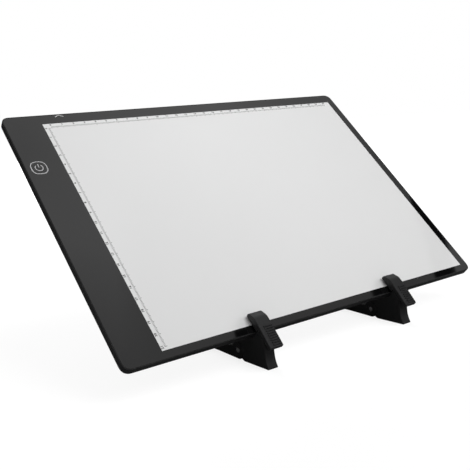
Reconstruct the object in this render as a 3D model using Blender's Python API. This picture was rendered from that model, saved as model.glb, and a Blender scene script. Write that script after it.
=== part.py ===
"""LED tracing pad: a thin lit panel with a touch key, leaning on two folding clip stands.

Metres, +Z up. The panel has a frame of its own: X along its long side, Y up the panel, Z out of
its face, with the origin at the lit area's near left corner. The stands use that origin too, but
stay upright: X along the panel, Y to the back, Z up. The whole part then rests centred on Z = 0.
"""

import bpy
import bmesh
from math import asin, atan2, cos, pi, radians, sin, sqrt, tan
from mathutils import Matrix, Vector

# Clearances and the overrun of every cut
GAP = 0.0003
FILM_GAP = 0.0001
OVERRUN = 0.0010

# The lit area and the borders round it
LIT_LENGTH = 0.3140
LIT_WIDTH = 0.2176
BORDER_LEFT = 0.0311
BORDER_RIGHT = 0.0083
BORDER_TOP = 0.0106
BORDER_BOTTOM = 0.0066
TILT = radians(44.0)

# The tray and the sheets in it
CORNER_RADIUS = 0.0070
RIM_WALL = 0.0013
RIM_LIP = 0.0005
RIM_EDGE = 0.00035
RIM_SLIT = 0.0002
FLOOR_THICK = 0.0011
PANEL_THICK = 0.0014
PANEL_EDGE = 0.0002
DIFFUSER_THICK = 0.0003
TAPE_THICK = 0.0002
GUIDE_THICK = 0.0020
REFLECTOR_THICK = 0.0002
GUIDE_MARGIN = 0.0020
GUIDE_CORNER = 0.0010
TAPE_MARGIN = 0.0002
FOOT_RADIUS = 0.0060
FOOT_THICK = 0.0015
FOOT_INSET = 0.0130
FOOT_EDGE = 0.0004

# The LED bar beside the light guide
LED_BOARD_THICK = 0.0008
LED_BOARD_HEIGHT = 0.0020
LED_END_MARGIN = 0.0030
LED_COUNT = 36
LED_LENGTH = 0.0030
LED_DEPTH = 0.0010
LED_HEIGHT = 0.0014
LED_SINK = 0.0002

# The control board in the wide border
BOARD_THICK = 0.0010
BOARD_STANDOFF = 0.0006
BOARD_WIDTH = 0.0180
BOARD_LENGTH = 0.0990
BOARD_TAIL_WIDTH = 0.0041
BOARD_TAIL_REACH = 0.0080
BOARD_FROM_WALL = 0.0022
BOARD_CORNER = 0.0010
SCREW_RADIUS = 0.0008
SCREW_HEAD_RADIUS = 0.0015
SCREW_HEAD_THICK = 0.0006
BOSS_RADIUS = 0.0020
SCREW_INSET = 0.0035
SCREW_BITE = 0.0008
KEY_FROM_TOP = 0.0456
KEY_FROM_LIT = 0.0200
ELECTRODE_RADIUS = 0.0045
CHIP_HEIGHT = 0.0008
DRIVER_SIZE = (0.0060, 0.0050)
COIL_SIZE = (0.0040, 0.0040)
CAPACITOR_SIZE = (0.0020, 0.0012)
DRIVER_DROP = 0.0180
COIL_DROP = 0.0280
CAPACITOR_DROP = 0.0350
CAPACITOR_PITCH = 0.0045

# The socket in the top edge
SOCKET_PLACE = 0.0173
SOCKET_WIDTH = 0.0075
SOCKET_DEPTH = 0.0055
SOCKET_HEIGHT = 0.0023
SOCKET_WALL = 0.0003
SOCKET_BACK = 0.0010
SOCKET_TONGUE_WIDTH = 0.0036
SOCKET_TONGUE_THICK = 0.0006

# The two short leads
LEAD_RADIUS = 0.00035
LEAD_PITCH = 0.0012
LEAD_CHANNEL = 0.0036
LEAD_FROM_LIT = 0.0180
LEAD_FOOT = 0.0300
LEAD_BEND = 0.0030

# Stand: where it stands and where the panel's edge and the hinge are
STAND_PLACES = {"left": 0.0744, "right": 0.2161}
EDGE_HEIGHT = 0.0248
FRONT_REACH = 0.0121
PIN_REACH = 0.0228
PIN_HEIGHT = 0.0068
BODY_WIDTH = 0.0088
BODY_EDGE = 0.0005

# Stand body: wedge with a flared toe, slot and arm
RAMP_HEIGHT = 0.0033
RAMP_SLOPE = radians(5.0)
RAMP_LENGTH = 0.0088
FLARE_HEIGHT = 0.0060
FLARE_LEAN = 0.0010
FLARE_RADIUS = 0.0300
SOLE_END_REACH = 0.0072
NOTCH_RISE = 0.0014
ARM_LENGTH = 0.0950
ARM_CLEARANCE = 0.0006
ARM_TIP_THICK = 0.0045
ARM_TIP_RADIUS = 0.0015
ARM_ROOT_DROP = 0.0040
ARM_PAD_LENGTH = 0.0200
ARM_PAD_FROM_TIP = 0.0050
ARM_PAD_THICK = 0.0012
ARM_PAD_MARGIN = 0.0015

# Hinge: knuckle, tongue, pin and washer
KNUCKLE_RADIUS = 0.0067
CHEEK_THICK = 0.0019
TONGUE_EASE = 0.0002
HEEL_DROP = 0.0052
TONGUE_ROOT = 0.0010
PIN_RADIUS = 0.0018
PIN_DOME = 0.0003
WASHER_RADIUS = 0.0042
WASHER_THICK = 0.0004

# Leg
LEG_LENGTH = 0.1250
LEG_TOP = 0.0025
LEG_LIFT = 0.0010
LEG_END_HEIGHT = 0.0050
LEG_ARCH_RUN = 0.0240
LEG_ARCH_START = radians(282.0)
LEG_END_RADIUS = 0.0015
LEG_FOOT_LENGTH = 0.0120
LEG_FOOT_FROM_END = 0.0040
LEG_FOOT_SINK = 0.0008
LEG_FOOT_MARGIN = 0.0012

# Clamp: ribbed plate, hook, keel and grip
CLAMP_WIDTH = 0.0118
CLAMP_THICK = 0.0030
CLAMP_DROP = 0.0170
CLAMP_EDGE = 0.0004
CREST_PLACE = 0.0040
CREST_RUN = 0.0044
HOOK_REACH = 0.0144
HOOK_UNDER = 0.0010
NOSE_HEIGHT = 0.0024
NOSE_SHOULDER = 0.0006
NOSE_FALL = 0.0028
NOSE_RADIUS = 0.0008
CREST_RADIUS = 0.0060
TAIL_RADIUS = 0.0006
GRIP_SINK = 0.0006
GRIP_SIDE = 0.0008
GRIP_LENGTH = 0.0100
GRIP_FROM_NOSE = 0.0014
GRIP_TEETH = 8
GRIP_TOOTH_DEPTH = 0.0004
RIB_COUNT = 9
RIB_PITCH = 0.00185
RIB_WIDTH = 0.0009
RIB_HEIGHT = 0.0006
RIB_FLANK = 0.0002
RIB_SINK = 0.0003
RIB_FROM_TAIL = 0.0020
RIB_FROM_LEFT = 0.0036
RIB_FROM_RIGHT = 0.0006
KEEL_LENGTH = 0.0040
KEEL_NECK_WIDTH = 0.0026
KEEL_NECK_HEIGHT = 0.0013
KEEL_HEAD_WIDTH = 0.0052
KEEL_HEAD_HEIGHT = 0.0012
KEEL_SINK = 0.0003
GROOVE_WALL = 0.0010

# Facets of round forms, and the angles at which faces meet smoothly, sharply or not at all
CORNER_STEPS = 8
ROUND_STEPS = 32
FILLET_STEPS = 5
STRAIGHT = radians(0.06)
SHARP = radians(35.0)
BEVELLED = radians(50.0)

# Looks that several pieces share
STAND_LOOK = ("stand_plastic", (0.014, 0.014, 0.015), 0.42)
RUBBER_LOOK = ("black_rubber", (0.015, 0.015, 0.015), 0.85)

# Sizes worked out from those above
PAD_THICK = (
    PANEL_THICK + DIFFUSER_THICK + GUIDE_THICK + REFLECTOR_THICK + FLOOR_THICK + 4 * FILM_GAP
)
PAD_LOW = Vector((-BORDER_LEFT, -BORDER_BOTTOM))
PAD_HIGH = Vector((LIT_LENGTH + BORDER_RIGHT, LIT_WIDTH + BORDER_TOP))
PANEL_BACK = -PANEL_THICK
DIFFUSER_TOP = PANEL_BACK - FILM_GAP
GUIDE_TOP = DIFFUSER_TOP - DIFFUSER_THICK - FILM_GAP
REFLECTOR_TOP = GUIDE_TOP - GUIDE_THICK - FILM_GAP
FLOOR_TOP = REFLECTOR_TOP - REFLECTOR_THICK - FILM_GAP
FRAME_TOP = DIFFUSER_TOP - TAPE_THICK - FILM_GAP
LED_ROOM = LED_BOARD_THICK + LED_DEPTH + 2 * GAP
GUIDE_LOW = Vector((-GUIDE_MARGIN, -GUIDE_MARGIN))
GUIDE_HIGH = Vector((LIT_LENGTH + GUIDE_MARGIN, LIT_WIDTH + GUIDE_MARGIN))
BOARD_TOP = FLOOR_TOP + BOARD_STANDOFF + FILM_GAP + BOARD_THICK
BOARD_EDGE = RIM_WALL + BOARD_FROM_WALL
BOARD_LOW = Vector((PAD_LOW.x + BOARD_EDGE, PAD_HIGH.y - BOARD_EDGE - BOARD_LENGTH))
BOARD_HIGH = BOARD_LOW + Vector((BOARD_WIDTH, BOARD_LENGTH))
SOCKET_TOP = (FRAME_TOP + FLOOR_TOP + SOCKET_HEIGHT) / 2
PIN_HOLE = PIN_RADIUS + GAP
KNUCKLE_SEAT = KNUCKLE_RADIUS + GAP
TONGUE_LEFT = CHEEK_THICK + GAP
WASHER_LEFT = BODY_WIDTH - CHEEK_THICK - TONGUE_EASE - WASHER_THICK
TONGUE_RIGHT = WASHER_LEFT - TONGUE_EASE
TONGUE_RADIUS = KNUCKLE_RADIUS - GAP
GROOVE_END = RAMP_LENGTH - GROOVE_WALL
KEEL_START = GROOVE_END - GAP - KEEL_LENGTH

# A profile drawn in Y and Z is extruded along X by this frame
SIDEWAYS = Matrix(((0, 0, 1, 0), (1, 0, 0, 0), (0, 1, 0, 0), (0, 0, 0, 1)))


def on_panel(along, out):
    """(back, up) of a place given up the panel from the lit edge and out of its face."""
    return Vector((along * cos(TILT) - out * sin(TILT), along * sin(TILT) + out * cos(TILT)))


EDGE = on_panel(-BORDER_BOTTOM, 0)
TABLE = EDGE.y - EDGE_HEIGHT
PIN = Vector((EDGE.x + PIN_REACH, TABLE + PIN_HEIGHT))


def clear_scene():
    for obj in list(bpy.data.objects):
        bpy.data.objects.remove(obj, do_unlink=True)


def finish(name, colour, roughness, metallic=0.0):
    """A Principled material, made once for each name."""
    made = bpy.data.materials.get(name)
    if made is None:
        made = bpy.data.materials.new(name)
        made.use_nodes = True
        shader = made.node_tree.nodes["Principled BSDF"]
        shader.inputs["Base Color"].default_value = (*colour, 1.0)
        shader.inputs["Roughness"].default_value = roughness
        shader.inputs["Metallic"].default_value = metallic
    return made


def empty(name, parent=None, location=(0, 0, 0), tilt=0.0):
    made = bpy.data.objects.new(name, None)
    bpy.context.collection.objects.link(made)
    made.parent = parent
    made.location = location
    made.rotation_euler = (tilt, 0, 0)
    return made


def place(name, mesh, parent, look=None):
    made = bpy.data.objects.new(name, mesh)
    bpy.context.collection.objects.link(made)
    made.parent = parent
    if look is not None:
        mesh.materials.append(look)
    return made


def as_tool(obj):
    """Keeps a cutter or a piece to be fused out of the finished part."""
    obj.hide_render = True
    obj.display_type = "WIRE"
    return obj


def smooth(mesh):
    mesh.shade_smooth()
    mesh.set_sharp_from_angle(angle=SHARP)


def arc(centre, radius, start, end, steps=FILLET_STEPS):
    angles = [start + (end - start) * i / steps for i in range(steps + 1)]
    return [Vector((centre[0] + radius * cos(a), centre[1] + radius * sin(a))) for a in angles]


def circle(centre, radius, steps=ROUND_STEPS):
    return arc(centre, radius, 0, 2 * pi, steps)[:-1]


def rectangle(low, high):
    return [Vector(low), Vector((high[0], low[1])), Vector(high), Vector((low[0], high[1]))]


def rounded(points, radius, steps=FILLET_STEPS):
    """The outline with its corners rounded: radius is one size, or a list with one for each corner."""
    radii = radius if isinstance(radius, (list, tuple)) else [radius] * len(points)
    outline = []
    for i, corner in enumerate(points):
        corner = Vector(corner)
        back = Vector(points[i - 1]) - corner
        ahead = Vector(points[(i + 1) % len(points)]) - corner
        opening = back.angle(ahead)
        if radii[i] == 0 or opening > pi - STRAIGHT:
            outline.append(corner)
            continue
        reach = min(radii[i] / tan(opening / 2), back.length / 2, ahead.length / 2)
        start = corner + back.normalized() * reach
        end = corner + ahead.normalized() * reach
        for step in range(steps + 1):
            share = step / steps
            outline.append(
                (1 - share) ** 2 * start + 2 * share * (1 - share) * corner + share**2 * end
            )
    return outline


def prism(name, outline, start, end, parent, look=None, frame=None, edge=0.0):
    """A closed outline in X and Y, extruded along Z from start to end, then turned by frame."""
    mesh = bpy.data.meshes.new(name)
    shape = bmesh.new()
    ring = [shape.verts.new((point[0], point[1], start)) for point in outline]
    face = shape.faces.new(ring)
    grown = bmesh.ops.extrude_face_region(shape, geom=[face])
    top = [item for item in grown["geom"] if isinstance(item, bmesh.types.BMVert)]
    bmesh.ops.translate(shape, verts=top, vec=(0, 0, end - start))
    if frame is not None:
        shape.transform(frame)
    shape.normal_update()
    bmesh.ops.recalc_face_normals(shape, faces=shape.faces)
    shape.to_mesh(mesh)
    shape.free()
    smooth(mesh)
    made = place(name, mesh, parent, look)
    if edge:
        bevel = made.modifiers.new("edges", "BEVEL")
        bevel.width = edge
        bevel.segments = 2
        bevel.harden_normals = True
        bevel.limit_method = "ANGLE"
        bevel.angle_limit = BEVELLED
    return made


def profile(name, outline, left, right, parent, look=None, edge=0.0):
    """An outline in Y and Z, extruded along X."""
    return prism(name, outline, left, right, parent, look, SIDEWAYS, edge)


def gather(name, pieces, parent):
    """One tool that holds several separate solids."""
    mesh = bpy.data.meshes.new(name)
    shape = bmesh.new()
    for piece in pieces:
        shape.from_mesh(piece.data)
        bpy.data.objects.remove(piece, do_unlink=True)
    shape.to_mesh(mesh)
    shape.free()
    smooth(mesh)
    return place(name, mesh, parent)


def combine(obj, tool, operation):
    step = obj.modifiers.new(tool.name, "BOOLEAN")
    step.operation = operation
    step.solver = "EXACT"
    step.object = as_tool(tool)


def cut(obj, tool):
    combine(obj, tool, "DIFFERENCE")


def fuse(obj, tool):
    combine(obj, tool, "UNION")


def inset(margin):
    """Low and high corners of the pad's outline, drawn in by margin."""
    step = Vector((margin, margin))
    return PAD_LOW + step, PAD_HIGH - step


def pad_outline(margin):
    low, high = inset(margin)
    return rounded(rectangle(low, high), CORNER_RADIUS - margin, CORNER_STEPS)


def screw_places():
    return [
        Vector((BOARD_LOW.x + SCREW_INSET, BOARD_LOW.y + SCREW_INSET)),
        Vector((BOARD_HIGH.x - SCREW_INSET, BOARD_HIGH.y - BOARD_TAIL_WIDTH - 2 * SCREW_INSET)),
    ]


def make_back_cover(pad):
    look = finish("black_abs", (0.012, 0.012, 0.013), 0.45)
    tray = prism("back_cover", pad_outline(0), -PAD_THICK, 0, pad, look, edge=RIM_EDGE)
    cut(tray, prism("tray_hollow", pad_outline(RIM_WALL), FLOOR_TOP, OVERRUN, pad))
    seat = PANEL_BACK - FILM_GAP
    cut(tray, prism("panel_seat", pad_outline(RIM_LIP), seat, OVERRUN, pad))
    for number, spot in enumerate(screw_places()):
        boss = circle(spot, BOSS_RADIUS)
        low = FLOOR_TOP - FLOOR_THICK / 2
        fuse(tray, prism(f"boss_{number}", boss, low, FLOOR_TOP + BOARD_STANDOFF, pad))
        hole = circle(spot, SCREW_RADIUS + FILM_GAP)
        bottom = FLOOR_TOP + BOARD_STANDOFF - SCREW_BITE - GAP
        cut(tray, prism(f"boss_hole_{number}", hole, bottom, FLOOR_TOP + OVERRUN, pad))
    half = Vector((SOCKET_WIDTH / 2 + GAP, 0))
    middle = Vector((SOCKET_PLACE, PAD_HIGH.y))
    low = middle - half - Vector((0, RIM_WALL + OVERRUN))
    high = middle + half + Vector((0, OVERRUN))
    mouth = rectangle(low, high)
    bottom = SOCKET_TOP - SOCKET_HEIGHT - FILM_GAP
    cut(tray, prism("socket_mouth", mouth, bottom, SOCKET_TOP + FILM_GAP, pad))
    return tray


def make_front_panel(pad):
    look = finish("gloss_panel", (0.70, 0.70, 0.71), 0.12)
    outline = pad_outline(RIM_LIP + RIM_SLIT)
    return prism("front_panel", outline, PANEL_BACK, 0, pad, look, edge=PANEL_EDGE)


def guide_window(margin):
    """The window that the light guide and the LED bar need, with margin all round."""
    low = GUIDE_LOW - Vector((LED_ROOM + margin, margin))
    high = GUIDE_HIGH + Vector((margin, margin))
    return rectangle(low, high)


def tail_low():
    return Vector((BOARD_LOW.x, BOARD_HIGH.y - BOARD_TAIL_WIDTH))


def tail_end():
    return SOCKET_PLACE + SOCKET_WIDTH / 2 + BOARD_TAIL_REACH


def make_mid_frame(pad):
    look = finish("white_abs", (0.62, 0.62, 0.60), 0.5)
    low = FLOOR_TOP + FILM_GAP
    outline = pad_outline(RIM_WALL + RIM_SLIT)
    frame = prism("mid_frame", outline, low, FRAME_TOP, pad, look)
    bottom, top = low - OVERRUN, FRAME_TOP + OVERRUN
    cut(frame, prism("guide_window", guide_window(GAP), bottom, top, pad))
    margin = Vector((GAP, GAP))
    window = rectangle(BOARD_LOW - margin, BOARD_HIGH + margin)
    cut(frame, prism("board_window", window, bottom, top, pad))
    ahead = Vector((tail_end() + GAP, BOARD_HIGH.y + CORNER_RADIUS))
    tail = rectangle(tail_low() - margin, ahead)
    cut(frame, prism("tail_window", tail, bottom, top, pad))
    half = Vector((LEAD_CHANNEL / 2, 0))
    down = rectangle(
        Vector((-LEAD_FROM_LIT, LEAD_FOOT - LEAD_CHANNEL / 2)) - half,
        Vector((-LEAD_FROM_LIT, BOARD_LOW.y)) + half,
    )
    cut(frame, prism("lead_channel", down, bottom, top, pad))
    across = rectangle(
        (-LEAD_FROM_LIT - LEAD_CHANNEL / 2, LEAD_FOOT - LEAD_CHANNEL / 2),
        (GUIDE_LOW.x - LED_ROOM, LEAD_FOOT + LEAD_CHANNEL / 2),
    )
    cut(frame, prism("lead_turn", across, bottom, top, pad))
    return frame


def make_bonding_tape(pad):
    look = finish("black_tape", (0.02, 0.02, 0.02), 0.8)
    top = PANEL_BACK - FILM_GAP
    tape = prism("bonding_tape", pad_outline(RIM_WALL + RIM_SLIT), top - TAPE_THICK, top, pad, look)
    margin = Vector((TAPE_MARGIN + GAP, TAPE_MARGIN + GAP))
    low = Vector((BOARD_LOW.x, GUIDE_LOW.y)) - margin
    window = rectangle(low, GUIDE_HIGH + margin)
    cut(tape, prism("tape_window", window, top - TAPE_THICK - OVERRUN, top + OVERRUN, pad))
    return tape


def make_sheets(pad):
    sheet = rounded(rectangle(GUIDE_LOW, GUIDE_HIGH), GUIDE_CORNER)
    opal = finish("opal_film", (0.85, 0.85, 0.85), 0.6)
    prism("diffuser_sheet", sheet, DIFFUSER_TOP - DIFFUSER_THICK, DIFFUSER_TOP, pad, opal)
    clear = finish("clear_acrylic", (0.80, 0.84, 0.85), 0.08)
    prism("light_guide", sheet, GUIDE_TOP - GUIDE_THICK, GUIDE_TOP, pad, clear)
    white = finish("white_film", (0.90, 0.90, 0.90), 0.4)
    prism("reflector_sheet", sheet, REFLECTOR_TOP - REFLECTOR_THICK, REFLECTOR_TOP, pad, white)


def make_led_bar(pad):
    """A narrow board on edge beside the light guide, with its LEDs soldered on, facing the guide."""
    board_right = GUIDE_LOW.x - GAP - LED_DEPTH
    low = GUIDE_LOW.y + LED_END_MARGIN
    high = GUIDE_HIGH.y - LED_END_MARGIN
    middle = GUIDE_TOP - GUIDE_THICK / 2
    bottom, top = middle - LED_BOARD_HEIGHT / 2, middle + LED_BOARD_HEIGHT / 2
    strip = rectangle((board_right - LED_BOARD_THICK, low), (board_right, high))
    look = finish("white_board", (0.75, 0.76, 0.74), 0.5)
    bar = prism("led_bar", strip, bottom, top, pad, look)
    pitch = (high - low) / LED_COUNT
    chips = []
    for number in range(LED_COUNT):
        start = low + (number + 1 / 2) * pitch - LED_LENGTH / 2
        chip = rectangle(
            (board_right - LED_SINK, start), (board_right + LED_DEPTH, start + LED_LENGTH)
        )
        bottom, top = middle - LED_HEIGHT / 2, middle + LED_HEIGHT / 2
        chips.append(prism(f"led_{number}", chip, bottom, top, pad))
    fuse(bar, gather("leds", chips, pad))
    return bar


def make_control_board(pad):
    look = finish("green_board", (0.02, 0.16, 0.07), 0.4)
    corner = tail_low()
    outline = [
        BOARD_LOW,
        Vector((BOARD_HIGH.x, BOARD_LOW.y)),
        Vector((BOARD_HIGH.x, corner.y)),
        Vector((tail_end(), corner.y)),
        Vector((tail_end(), BOARD_HIGH.y)),
        Vector((BOARD_LOW.x, BOARD_HIGH.y)),
    ]
    outline = rounded(outline, BOARD_CORNER)
    bottom = BOARD_TOP - BOARD_THICK
    board = prism("control_board", outline, bottom, BOARD_TOP, pad, look)
    half = Vector((SOCKET_WIDTH / 2 + GAP, 0))
    back = PAD_HIGH.y - GAP - SOCKET_DEPTH - GAP
    notch = rectangle(
        Vector((SOCKET_PLACE, back)) - half, Vector((SOCKET_PLACE, PAD_HIGH.y)) + half
    )
    cut(board, prism("socket_notch", notch, bottom - OVERRUN, BOARD_TOP + OVERRUN, pad))
    for number, spot in enumerate(screw_places()):
        hole = circle(spot, SCREW_RADIUS + GAP)
        tool = prism(f"board_hole_{number}", hole, bottom - OVERRUN, BOARD_TOP + OVERRUN, pad)
        cut(board, tool)
    return board


def make_board_screws(pad):
    look = finish("zinc_steel", (0.55, 0.55, 0.56), 0.3, 1.0)
    seat = BOARD_TOP + FILM_GAP
    tip = FLOOR_TOP + BOARD_STANDOFF - SCREW_BITE
    for number, spot in enumerate(screw_places(), 1):
        disc = circle(spot, SCREW_HEAD_RADIUS)
        head = prism(f"board_screw_{number}", disc, seat, seat + SCREW_HEAD_THICK, pad, look)
        rod = circle(spot, SCREW_RADIUS)
        fuse(head, prism(f"screw_shank_{number}", rod, tip, seat + SCREW_HEAD_THICK / 2, pad))


def make_chip(name, centre, size, pad):
    half = Vector(size) / 2
    low = BOARD_TOP + FILM_GAP
    look = finish("chip_black", (0.02, 0.02, 0.02), 0.5)
    return prism(name, rectangle(centre - half, centre + half), low, low + CHIP_HEIGHT, pad, look)


def make_board_chips(pad):
    middle = (BOARD_LOW.x + BOARD_HIGH.x) / 2
    key = LIT_WIDTH - KEY_FROM_TOP
    make_chip("driver_chip", Vector((middle, key - DRIVER_DROP)), DRIVER_SIZE, pad)
    make_chip("driver_coil", Vector((middle, key - COIL_DROP)), COIL_SIZE, pad)
    for side in (-1, 1):
        spot = Vector((middle + side * CAPACITOR_PITCH / 2, key - CAPACITOR_DROP))
        name = "capacitor_1" if side < 0 else "capacitor_2"
        make_chip(name, spot, CAPACITOR_SIZE, pad)


def make_touch_electrode(pad):
    spot = Vector((-KEY_FROM_LIT, LIT_WIDTH - KEY_FROM_TOP))
    low = BOARD_TOP + FILM_GAP
    disc = circle(spot, ELECTRODE_RADIUS)
    look = finish("foam_contact", (0.10, 0.10, 0.10), 0.9)
    return prism("touch_electrode", disc, low, PANEL_BACK - FILM_GAP, pad, look)


def make_usb_socket(pad):
    look = finish("tin_plate", (0.62, 0.62, 0.63), 0.25, 1.0)
    front = PAD_HIGH.y - GAP
    back = front - SOCKET_DEPTH
    left = SOCKET_PLACE - SOCKET_WIDTH / 2
    right = SOCKET_PLACE + SOCKET_WIDTH / 2
    bottom = SOCKET_TOP - SOCKET_HEIGHT
    case = rectangle((left, back), (right, front))
    shell = prism("usb_socket", case, bottom, SOCKET_TOP, pad, look)
    mouth = rectangle(
        (left + SOCKET_WALL, back + SOCKET_BACK), (right - SOCKET_WALL, front + OVERRUN)
    )
    hollow = prism("socket_hollow", mouth, bottom + SOCKET_WALL, SOCKET_TOP - SOCKET_WALL, pad)
    cut(shell, hollow)
    half = SOCKET_TONGUE_WIDTH / 2
    middle = SOCKET_TOP - SOCKET_HEIGHT / 2
    tongue = rectangle(
        (SOCKET_PLACE - half, back + SOCKET_BACK / 2), (SOCKET_PLACE + half, front - SOCKET_BACK)
    )
    low, high = middle - SOCKET_TONGUE_THICK / 2, middle + SOCKET_TONGUE_THICK / 2
    fuse(shell, prism("socket_tongue", tongue, low, high, pad))
    return shell


def lead_route(offset):
    """From the control board down the channel, round one bend and across to the LED board."""
    x = -LEAD_FROM_LIT + offset
    y = LEAD_FOOT + offset
    end = GUIDE_LOW.x - LED_ROOM + FILM_GAP
    bend = arc((x + LEAD_BEND, y + LEAD_BEND), LEAD_BEND, pi, 3 * pi / 2, CORNER_STEPS)
    return [Vector((x, BOARD_LOW.y - FILM_GAP)), *bend, Vector((end, y))]


def make_led_leads(pad):
    height = FLOOR_TOP + FILM_GAP + LEAD_RADIUS
    for number, side in enumerate((-1, 1), 1):
        lead = bpy.data.curves.new(f"led_lead_{number}", "CURVE")
        lead.dimensions = "3D"
        lead.bevel_depth = LEAD_RADIUS
        lead.bevel_resolution = 2
        lead.use_fill_caps = True
        route = lead_route(side * LEAD_PITCH / 2)
        line = lead.splines.new("POLY")
        line.points.add(len(route) - 1)
        for point, spot in zip(line.points, route):
            point.co = (spot.x, spot.y, height, 1)
        lead.materials.append(finish("red_insulation", (0.45, 0.03, 0.02), 0.5))
        made = bpy.data.objects.new(f"led_lead_{number}", lead)
        bpy.context.collection.objects.link(made)
        made.parent = pad


def make_back_feet(pad):
    look = finish(*RUBBER_LOOK)
    low, high = inset(FOOT_INSET)
    top = -PAD_THICK - FILM_GAP
    for number, spot in enumerate(rectangle(low, high), 1):
        disc = circle(spot, FOOT_RADIUS)
        prism(f"back_foot_{number}", disc, top - FOOT_THICK, top, pad, look, edge=FOOT_EDGE)


def ramp_at(along):
    """A place on the ramp under the clamp, given down the panel from its lower edge."""
    out = RAMP_HEIGHT - along * tan(RAMP_SLOPE)
    return on_panel(-BORDER_BOTTOM - GAP - along, out)


def front_face():
    """Top, knee and bottom of the wedge's front face, which sweeps forward to its toe."""
    top = ramp_at(RAMP_LENGTH)
    knee = Vector((top.x - FLARE_LEAN, TABLE + FLARE_HEIGHT))
    return top, knee, Vector((EDGE.x - FRONT_REACH, TABLE))


def arm_back_line():
    """The arm's tip and the foot of its back edge, which passes the hinge ARM_ROOT_DROP above it."""
    tip = on_panel(ARM_LENGTH, -PAD_THICK - ARM_CLEARANCE - ARM_TIP_THICK)
    ray = tip - PIN
    turn = asin(ARM_ROOT_DROP / ray.length)
    angle = atan2(ray.y, ray.x) - turn
    way = Vector((cos(angle), sin(angle)))
    near = tip - way * sqrt(ray.length**2 - ARM_ROOT_DROP**2)
    return tip, near + way * sqrt(KNUCKLE_SEAT**2 - ARM_ROOT_DROP**2)


def body_outline():
    sole_end = Vector((PIN.x - SOLE_END_REACH, TABLE))
    drop = PIN_HEIGHT - NOTCH_RISE
    tip, root = arm_back_line()
    seat_end = pi + asin(drop / KNUCKLE_SEAT)
    seat_start = atan2(root.y - PIN.y, root.x - PIN.x)
    seat = arc(PIN, KNUCKLE_SEAT, seat_end, seat_start, 2 * CORNER_STEPS)
    arm_face = -PAD_THICK - ARM_CLEARANCE
    head = rounded(
        [
            root + (tip - root) / 2,
            tip,
            on_panel(ARM_LENGTH, arm_face),
            on_panel(ARM_LENGTH / 2, arm_face),
        ],
        [0, ARM_TIP_RADIUS, ARM_TIP_RADIUS, 0],
    )
    slot = on_panel(-BORDER_BOTTOM - GAP, arm_face)
    front = rounded(
        [slot, ramp_at(0), *front_face(), sole_end],
        [0, 0, BODY_EDGE, FLARE_RADIUS, BODY_EDGE, 0],
    )
    return [*seat, *head, *front]


def tongue_outline():
    """The tongue between the leg's cheeks, with its flat heel and its root inside the body."""
    back = PIN.x - KNUCKLE_SEAT - TONGUE_ROOT
    crown = arc(PIN, TONGUE_RADIUS, 0, pi / 2, CORNER_STEPS)
    heel = PIN.y - HEEL_DROP
    return [
        Vector((PIN.x + TONGUE_RADIUS, heel)),
        *crown,
        Vector((back, PIN.y + TONGUE_RADIUS)),
        Vector((back, heel)),
    ]


def ramp_frame(along):
    """X stays, Y points out of the ramp and Z runs down it, from a place on the ramp."""
    angle = TILT + RAMP_SLOPE
    spot = ramp_at(along)
    return Matrix(
        (
            (1, 0, 0, 0),
            (0, -sin(angle), -cos(angle), spot.x),
            (0, cos(angle), -sin(angle), spot.y),
            (0, 0, 0, 1),
        )
    )


def keel_outline(margin, top):
    """T section of the clamp's keel below the ramp's surface; the groove is the same with a margin."""
    middle = BODY_WIDTH / 2
    neck = KEEL_NECK_WIDTH / 2 + margin
    head = KEEL_HEAD_WIDTH / 2 + margin
    shoulder = -KEEL_NECK_HEIGHT + margin
    foot = -KEEL_NECK_HEIGHT - KEEL_HEAD_HEIGHT - margin
    return [
        Vector((middle - head, foot)),
        Vector((middle + head, foot)),
        Vector((middle + head, shoulder)),
        Vector((middle + neck, shoulder)),
        Vector((middle + neck, top)),
        Vector((middle - neck, top)),
        Vector((middle - neck, shoulder)),
        Vector((middle - head, shoulder)),
    ]


def make_stand_body(side, stand):
    look = finish(*STAND_LOOK)
    name = f"stand_{side}_body"
    body = profile(name, body_outline(), 0, BODY_WIDTH, stand, look, BODY_EDGE)
    fuse(body, profile(f"{side}_tongue", tongue_outline(), TONGUE_LEFT, TONGUE_RIGHT, stand))
    hole = circle(PIN, PIN_HOLE)
    cut(body, profile(f"{side}_tongue_hole", hole, TONGUE_LEFT - GAP, TONGUE_RIGHT + GAP, stand))
    groove = keel_outline(GAP, OVERRUN)
    start = -GROOVE_END - OVERRUN
    cut(body, prism(f"{side}_groove", groove, start, 0, stand, frame=ramp_frame(GROOVE_END)))
    cut(body, arm_pad_solid(f"{side}_arm_pocket", stand, GAP, None))
    return body


def arm_pad_solid(name, stand, margin, look):
    """The rubber pad near the arm's tip, or with a margin its pocket."""
    face = -PAD_THICK - GAP
    start = ARM_LENGTH - ARM_PAD_FROM_TIP - ARM_PAD_LENGTH - margin
    end = ARM_LENGTH - ARM_PAD_FROM_TIP + margin
    outline = [
        on_panel(start, face),
        on_panel(end, face),
        on_panel(end, face - ARM_PAD_THICK - margin),
        on_panel(start, face - ARM_PAD_THICK - margin),
    ]
    left = ARM_PAD_MARGIN - margin
    right = BODY_WIDTH - ARM_PAD_MARGIN + margin
    return profile(name, outline, left, right, stand, look)


def make_arm_pad(side, stand):
    look = finish(*RUBBER_LOOK)
    return arm_pad_solid(f"stand_{side}_arm_pad", stand, 0, look)


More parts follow.
